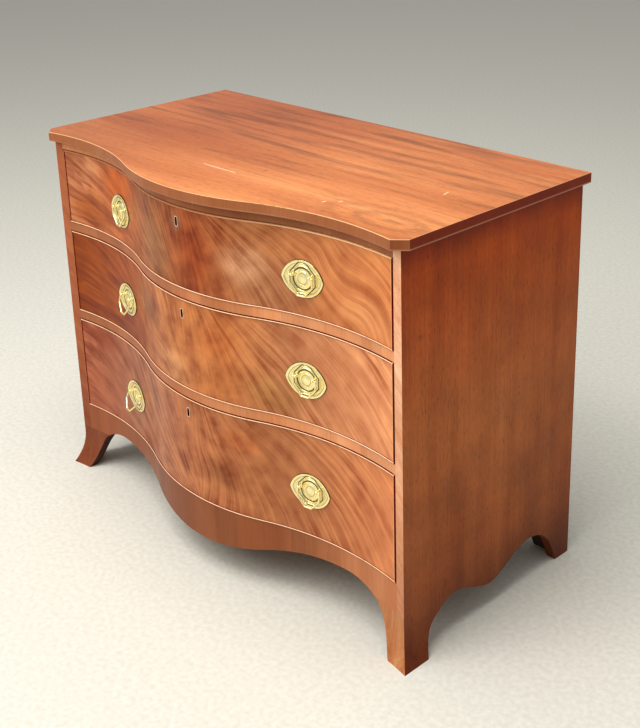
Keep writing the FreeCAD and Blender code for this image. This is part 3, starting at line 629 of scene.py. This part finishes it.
swept = add(bead_tree, "GeometryNodeCurveToMesh",
            {"Curve": course.outputs[0], "Profile Curve": strip.outputs[0], "Fill Caps": True})
swept = add(bead_tree, "GeometryNodeRealizeInstances", {"Geometry": swept.outputs[0]})
swept = add(bead_tree, "GeometryNodeSetMaterial", {"Geometry": swept.outputs[0], "Material": given["Wood"]})
add(bead_tree, "NodeGroupOutput", {"Bead": swept.outputs[0]})


def grown(name, mesh, tree, values):
    # a piece with what a node tree makes of a mesh, as a plain mesh
    piece = bpy.data.objects.new(name, mesh)
    bpy.context.scene.collection.objects.link(piece)
    growth = piece.modifiers.new("growth", "NODES")
    growth.node_group = tree
    for item in tree.interface.items_tree:
        if item.name in values:
            growth[item.identifier] = values[item.name]
    bpy.context.view_layer.update()
    solid = bpy.data.meshes.new_from_object(piece.evaluated_get(bpy.context.evaluated_depsgraph_get()))
    piece.modifiers.remove(growth)
    piece.data = solid
    return piece


def closed(piece, crease):
    # merges a piece's doubles, turns its faces outwards and smooths it up to the crease angle
    shape = bmesh.new()
    shape.from_mesh(piece.data)
    bmesh.ops.remove_doubles(shape, verts=shape.verts, dist=1e-6)
    bmesh.ops.recalc_face_normals(shape, faces=shape.faces)
    shape.to_mesh(piece.data)
    shape.free()
    piece.data.shade_smooth()
    piece.data.set_sharp_from_angle(angle=math.radians(crease))


bead_steps = 48
for drawer in fronts:
    low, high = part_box(drawer + "_drawer_cockbeads")
    half = high.x
    steps = [half * (i / bead_steps - 1) for i in range(2 * bead_steps + 1)]
    points = []
    edges = []
    for z in (low.z + bead_width / 2, high.z - bead_width / 2):
        edges += [(len(points) + i, len(points) + i + 1) for i in range(2 * bead_steps)]
        points += [(x, serpentine_y(x), z) for x in steps]
    level = bpy.data.meshes.new("level_bead_path")
    level.from_pydata(points, edges, [])
    points = []
    for x in (-half + bead_width / 2, half - bead_width / 2):
        points += [(x, serpentine_y(x), z) for z in (low.z + bead_width, high.z - bead_width)]
    upright = bpy.data.meshes.new("upright_bead_path")
    upright.from_pydata(points, [(0, 1), (2, 3)], [])
    sizes = {"Width": bead_width, "Depth": bead_depth, "Proud": bead_proud, "Nose": nose_radius,
             "Wood": bead_wood}
    beads = grown(drawer + "_drawer_rounded_cockbeads", level, bead_tree, {**sizes, "Turn": -math.pi / 2})
    ends = grown(drawer + "_bead_ends", upright, bead_tree, {**sizes, "Turn": math.pi})
    both = bmesh.new()
    both.from_mesh(beads.data)
    both.from_mesh(ends.data)
    both.to_mesh(beads.data)
    both.free()
    bpy.data.objects.remove(ends)
    closed(beads, 40)
    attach(beads, drawer + "_drawer")
    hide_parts(drawer + "_drawer_cockbeads")


# The locks and escutcheons
# Each lock is a plain brass case let into the back of the front, its bolt sliding up.
# A thin brass lining is driven into the keyhole. Old brass, rubbed bright outside and dull within.
lock_brass, tree, surface, place = finish_of("dull_lock_brass", Metallic=1.0)
stain = add(tree, "TexNoise", {"Vector": place, "Scale": 120.0, "Detail": 4.0}).outputs["Fac"]
colour = add(tree, "ValToRGB", {"Fac": stain}, [(0.3, "#8c6a34"), (0.7, "#b9954f")]).outputs["Color"]
polish(tree, surface, colour, stain, (0.38, 0.55), 0.1)

# Polished stamped brass: pale lemon yellow where it is rubbed, brown lacquer left in the hollows, and the
# edge of each plate painted dark as the shadow round it
brass, tree, surface, place = finish_of("rubbed_stamped_brass", Metallic=0.85)
cloud = add(tree, "TexNoise", {"Vector": place, "Scale": 160.0, "Detail": 4.0}).outputs["Fac"]
bright = add(tree, "ValToRGB", {"Fac": cloud}, [(0.3, "#ffe890"), (0.7, "#fff6c6")]).outputs["Color"]
patina_and_edge_shadow = add(tree, "Attribute", attribute_name="patina_and_edge_shadow").outputs["Fac"]
colour = add(tree, "Mix", {0: patina_and_edge_shadow, 6: bright, 7: linear("#4e3a08")}, data_type="RGBA").outputs[2]
polish(tree, surface, colour, cloud, (0.24, 0.34), 0.1)

# The lining shows as a thin bright outline; the hole inside it is painted black as shade
lining_wall = 0.0014
for drawer in fronts:
    lining, tree, surface, place = finish_of("keyhole_lining_brass_" + drawer, Roughness=0.4,
                                             Specular_IOR_Level=0.0)
    low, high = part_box(drawer + "_drawer_escutcheon")
    middle = (low + high) / 2
    half = (high.x - low.x) / 2
    away = add(tree, "VectorMath", {0: place, 1: middle}, operation="SUBTRACT").outputs[0]
    away = add(tree, "VectorMath", {0: away}, operation="ABSOLUTE").outputs[0]
    away = add(tree, "VectorMath", {0: away, 1: (0.0, 1.0, (high.z - low.z) / 2 - half)},
               operation="SUBTRACT").outputs[0]
    away = add(tree, "VectorMath", {0: away, 1: (0.0, 0.0, 0.0)}, operation="MAXIMUM").outputs[0]
    away = add(tree, "VectorMath", {0: away}, operation="LENGTH").outputs["Value"]
    inside = add(tree, "Math", {0: away, 1: half - lining_wall}, operation="LESS_THAN").outputs[0]
    worn = add(tree, "TexNoise", {"Vector": place, "Scale": 300.0, "Detail": 3.0}).outputs["Fac"]
    bright = add(tree, "ValToRGB", {"Fac": worn}, [(0.3, "#e0b48e"), (0.7, "#fbe0c4")]).outputs["Color"]
    colour = add(tree, "Mix", {0: inside, 6: bright, 7: linear("#140406")}, data_type="RGBA").outputs[2]
    tree.links.new(colour, surface.inputs["Base Color"])
    metal = add(tree, "Math", {0: 0.6, 1: inside}, operation="SUBTRACT", use_clamp=True).outputs[0]
    tree.links.new(metal, surface.inputs["Metallic"])
    dress(lining, drawer + "_drawer_escutcheon")
    dress(lock_brass, drawer + "_drawer_lock", drawer + "_drawer_lock_bolt")
    dress(brass, drawer + "_drawer_handle_posts", drawer + "_drawer_left_bail",
          drawer + "_drawer_right_bail")


# The handle plates
# Pointed-oval plates stamped from thin brass: a half-round rim, a pebbled ground, an octagonal frame
# and an oval boss ringed like a medallion. The two posts of the bail pass through them into the front.
plate_half = (0.048, 0.037)
octagon_half = (0.027, 0.0305)
octagon_flat = (0.008, 0.0105)
oval_half = (0.0245, 0.0250)
handle_x = 0.291
arc_radius = (plate_half[0] ** 2 + plate_half[1] ** 2) / (2 * plate_half[1])
arc_centre = arc_radius - plate_half[1]
across = np.linspace(-1, 1, 181)
upward = np.linspace(-1, 1, 129)
u = plate_half[0] * across[:, None] * np.ones_like(upward)[None, :]
tall = np.sqrt(np.maximum(arc_radius ** 2 - u ** 2, 0)) - arc_centre
v = tall * upward[None, :]

# Stamped relief in millimetres, from the distances to the rim, the octagon and the oval
rim = 1000 * (arc_radius - np.hypot(u, np.abs(v) + arc_centre))
corner = (octagon_half[0] - octagon_flat[0], octagon_half[1] - octagon_flat[1])
slope = np.hypot(*corner)
flat_sides = np.minimum(octagon_half[0] - np.abs(u), octagon_half[1] - np.abs(v))
cut_corners = (corner[1] * (octagon_half[0] - np.abs(u)) + corner[0] * (octagon_flat[1] - np.abs(v))) / slope
octagon = 1000 * np.minimum(flat_sides, cut_corners)
oval = np.hypot(u / oval_half[0], v / oval_half[1])


def ridge(distance, centre, width):
    # height of a half-round rib, 1 along its middle
    return np.sqrt(np.clip(1 - ((distance - centre) / width) ** 2, 0, 1))


relief = 0.9 + 1.5 * ridge(rim, 2.8, 3.0)
relief = np.where(rim < 2.8, 0.3 + 2.1 * ridge(rim, 2.8, 3.0), relief)
relief += 1.2 * ridge(octagon, 1.1, 1.2)
relief += 1.2 * ridge(oval, 0.98, 0.06) + 0.9 * ridge(oval, 0.55, 0.07) + 1.0 * ridge(oval, 0.0, 0.3)
relief += np.where(oval < 0.91, 1.4 * (1 - (oval / 0.91) ** 2), 0)
ground = ((rim > 6.4) & (octagon < -0.5)).astype(float)
patina_and_edge_shadow = ground * 0.15 + 1.0 * ridge(octagon, -1.0, 1.2) + 0.3 * ridge(octagon, 2.7, 0.7)
patina_and_edge_shadow += 1.0 * ridge(oval, 0.86, 0.08) + 0.5 * ridge(oval, 0.42, 0.06) + 0.5 * ridge(rim, 6.2, 0.7)
# The outer edge and the walls of the plate are painted dark as the shadow round it
patina_and_edge_shadow = np.clip(patina_and_edge_shadow + (rim < 0.8), 0, 1)

pebble_tree = bpy.data.node_groups.new("pebbled_ground", "GeometryNodeTree")
pebble_inputs = {"Plate": "Geometry", "Spacing": "Float", "Pebble": "Float", "Seed": "Int",
                 "Brass": "Material"}
for name, kind in pebble_inputs.items():
    pebble_tree.interface.new_socket(name, in_out="INPUT", socket_type="NodeSocket" + kind)
pebble_tree.interface.new_socket("Pebbled Plate", in_out="OUTPUT", socket_type="NodeSocketGeometry")
given = add(pebble_tree, "NodeGroupInput").outputs
low_ground = add(pebble_tree, "GeometryNodeInputNamedAttribute", {"Name": "ground"}, data_type="FLOAT")
spots = add(pebble_tree, "GeometryNodeDistributePointsOnFaces",
            {"Mesh": given["Plate"], "Density Max": 600000.0, "Distance Min": given["Spacing"],
             "Density Factor": low_ground.outputs[0], "Seed": given["Seed"]}, distribute_method="POISSON")
bump = add(pebble_tree, "GeometryNodeMeshIcoSphere", {"Radius": given["Pebble"], "Subdivisions": 1})
sown = add(pebble_tree, "GeometryNodeInstanceOnPoints",
           {"Points": spots.outputs["Points"], "Instance": bump.outputs[0],
            "Rotation": spots.outputs["Rotation"], "Scale": (1.0, 1.0, 0.6)})
whole = add(pebble_tree, "GeometryNodeJoinGeometry", {"Geometry": given["Plate"]})
pebble_tree.links.new(sown.outputs[0], whole.inputs[0])
whole = add(pebble_tree, "GeometryNodeRealizeInstances", {"Geometry": whole.outputs[0]})
whole = add(pebble_tree, "GeometryNodeSetMaterial",
            {"Geometry": whole.outputs[0], "Material": given["Brass"]})
add(pebble_tree, "NodeGroupOutput", {"Pebbled Plate": whole.outputs[0]})

columns, rows = u.shape
number = np.arange(columns * rows).reshape(columns, rows)
sheet_faces = np.stack([number[:-1, :-1], number[1:, :-1], number[1:, 1:], number[:-1, 1:]], -1)
sheet_faces = sheet_faces.reshape(-1, 4)
border = np.concatenate([number[:, 0], number[::-1, -1]])
out = -flank_radius + np.sqrt((flank_radius - relief / 1000) ** 2 - u ** 2)
seat = -flank_radius + np.sqrt(flank_radius ** 2 - u ** 2)
face_points = np.stack([u, out, v], -1).reshape(-1, 3)
seat_points = np.stack([u, seat, v], -1).reshape(-1, 3)[border]
for drawer in fronts:
    low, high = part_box(drawer + "_drawer_handle_plates")
    points = []
    faces = []
    for x in (-handle_x, handle_x):
        turn = math.copysign(math.asin((flank_centre_x - abs(x)) / flank_radius), x)
        hang = Matrix.Translation((x, serpentine_y(x), (low.z + high.z) / 2))
        hang = np.array(hang @ Matrix.Rotation(turn, 4, "Z"))
        placed = np.concatenate([face_points, seat_points]) @ hang[:3, :3].T + hang[:3, 3]
        first = len(points)
        points += placed.tolist()
        faces += (sheet_faces + first).tolist()
        seats = [first + len(face_points) + i for i in range(len(border))]
        rims = [first + int(i) for i in border]
        for i in range(len(border)):
            j = (i + 1) % len(border)
            faces.append([rims[i], rims[j], seats[j], seats[i]])
        faces.append(seats)
    sheet = bpy.data.meshes.new(drawer + "_stamped_plates")
    sheet.from_pydata(points, [], faces)
    walls = np.ones(len(border))
    for name, values, edge in (("ground", ground, 0 * walls), ("patina_and_edge_shadow", patina_and_edge_shadow, walls)):
        layer = sheet.attributes.new(name, "FLOAT", "POINT")
        values = np.tile(np.concatenate([values.ravel(), edge]), 2)
        layer.data.foreach_set("value", values.astype(np.float32))
    sizes = {"Spacing": 0.0021, "Pebble": 0.0006, "Seed": 4, "Brass": brass}
    plates = grown(drawer + "_drawer_stamped_plates", sheet, pebble_tree, sizes)
    closed(plates, 50)
    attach(plates, drawer + "_drawer")
    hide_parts(drawer + "_drawer_handle_plates")


# The floor and the light
# A plain pale floor with a fine speckle, soft light from a large panel in front and another overhead,
# and an even sky all round.
floor_mesh = bpy.data.meshes.new("floor")
floor_mesh.from_pydata([(-14, -8, 0), (8, -8, 0), (8, 14, 0), (-14, 14, 0)], [], [(0, 1, 2, 3)])
floor = bpy.data.objects.new("floor", floor_mesh)
bpy.context.scene.collection.objects.link(floor)
floor_finish, tree, surface, place = finish_of("pale_floor", Roughness=0.85)
speckle = add(tree, "TexNoise", {"Vector": place, "Scale": 90.0, "Detail": 6.0}).outputs["Fac"]
colour = add(tree, "ValToRGB", {"Fac": speckle}, [(0.3, "#ccc8ba"), (0.7, "#dad6ca")]).outputs["Color"]
tree.links.new(colour, surface.inputs["Base Color"])
floor_mesh.materials.append(floor_finish)

sky = bpy.data.worlds.new("even_sky")
sky.use_nodes = True
sky.node_tree.nodes["Background"].inputs["Color"].default_value = linear("#f1f3f4")
sky.node_tree.nodes["Background"].inputs["Strength"].default_value = 0.5
bpy.context.scene.world = sky
# Place and width in metres and power in watts of each panel, which faces the middle of the chest
panels = {"window_panel": ((-0.6, -3.2, 3.8), 3.0, 140.0), "ceiling_panel": ((0.1, -0.8, 3.8), 2.5, 110.0)}
chest_middle = Vector((0, 0, 0.5))
for name, (spot, width, power) in panels.items():
    lamp = bpy.data.lights.new(name, "AREA")
    lamp.size = width
    lamp.energy = power
    panel = bpy.data.objects.new(name, lamp)
    panel.location = spot
    panel.rotation_euler = (chest_middle - Vector(spot)).to_track_quat("-Z", "Y").to_euler()
    bpy.context.scene.collection.objects.link(panel)


# The camera
# It stands to the right of the front and above the top, at the photograph's viewing angle. The focal length
# and the row of the optical axis are in pixels, the eye in metres.
image_size = (640, 728)
sensor_width = 36.0
focal_pixels = 1212.2
axis_row = 225
eye = Vector((1.830, -1.5775, 1.527))
yaw, pitch, roll = (math.radians(a) for a in (47.436, -19.121, -1.809))
ahead = Vector((-math.sin(yaw) * math.cos(pitch), math.cos(yaw) * math.cos(pitch), math.sin(pitch)))
right = Vector((math.cos(yaw), math.sin(yaw), 0))
up = right.cross(ahead)
right, up = right * math.cos(roll) + up * math.sin(roll), up * math.cos(roll) - right * math.sin(roll)
camera_data = bpy.data.cameras.new("camera")
camera_data.sensor_width = sensor_width
camera_data.lens = sensor_width * focal_pixels / image_size[1]
camera_data.shift_y = (axis_row - image_size[1] / 2) / image_size[1]
camera = bpy.data.objects.new("camera", camera_data)
camera.matrix_world = Matrix.Translation(eye) @ Matrix((right, up, -ahead)).transposed().to_4x4()
bpy.context.scene.collection.objects.link(camera)
bpy.context.scene.camera = camera
bpy.context.scene.view_settings.view_transform = "Standard"
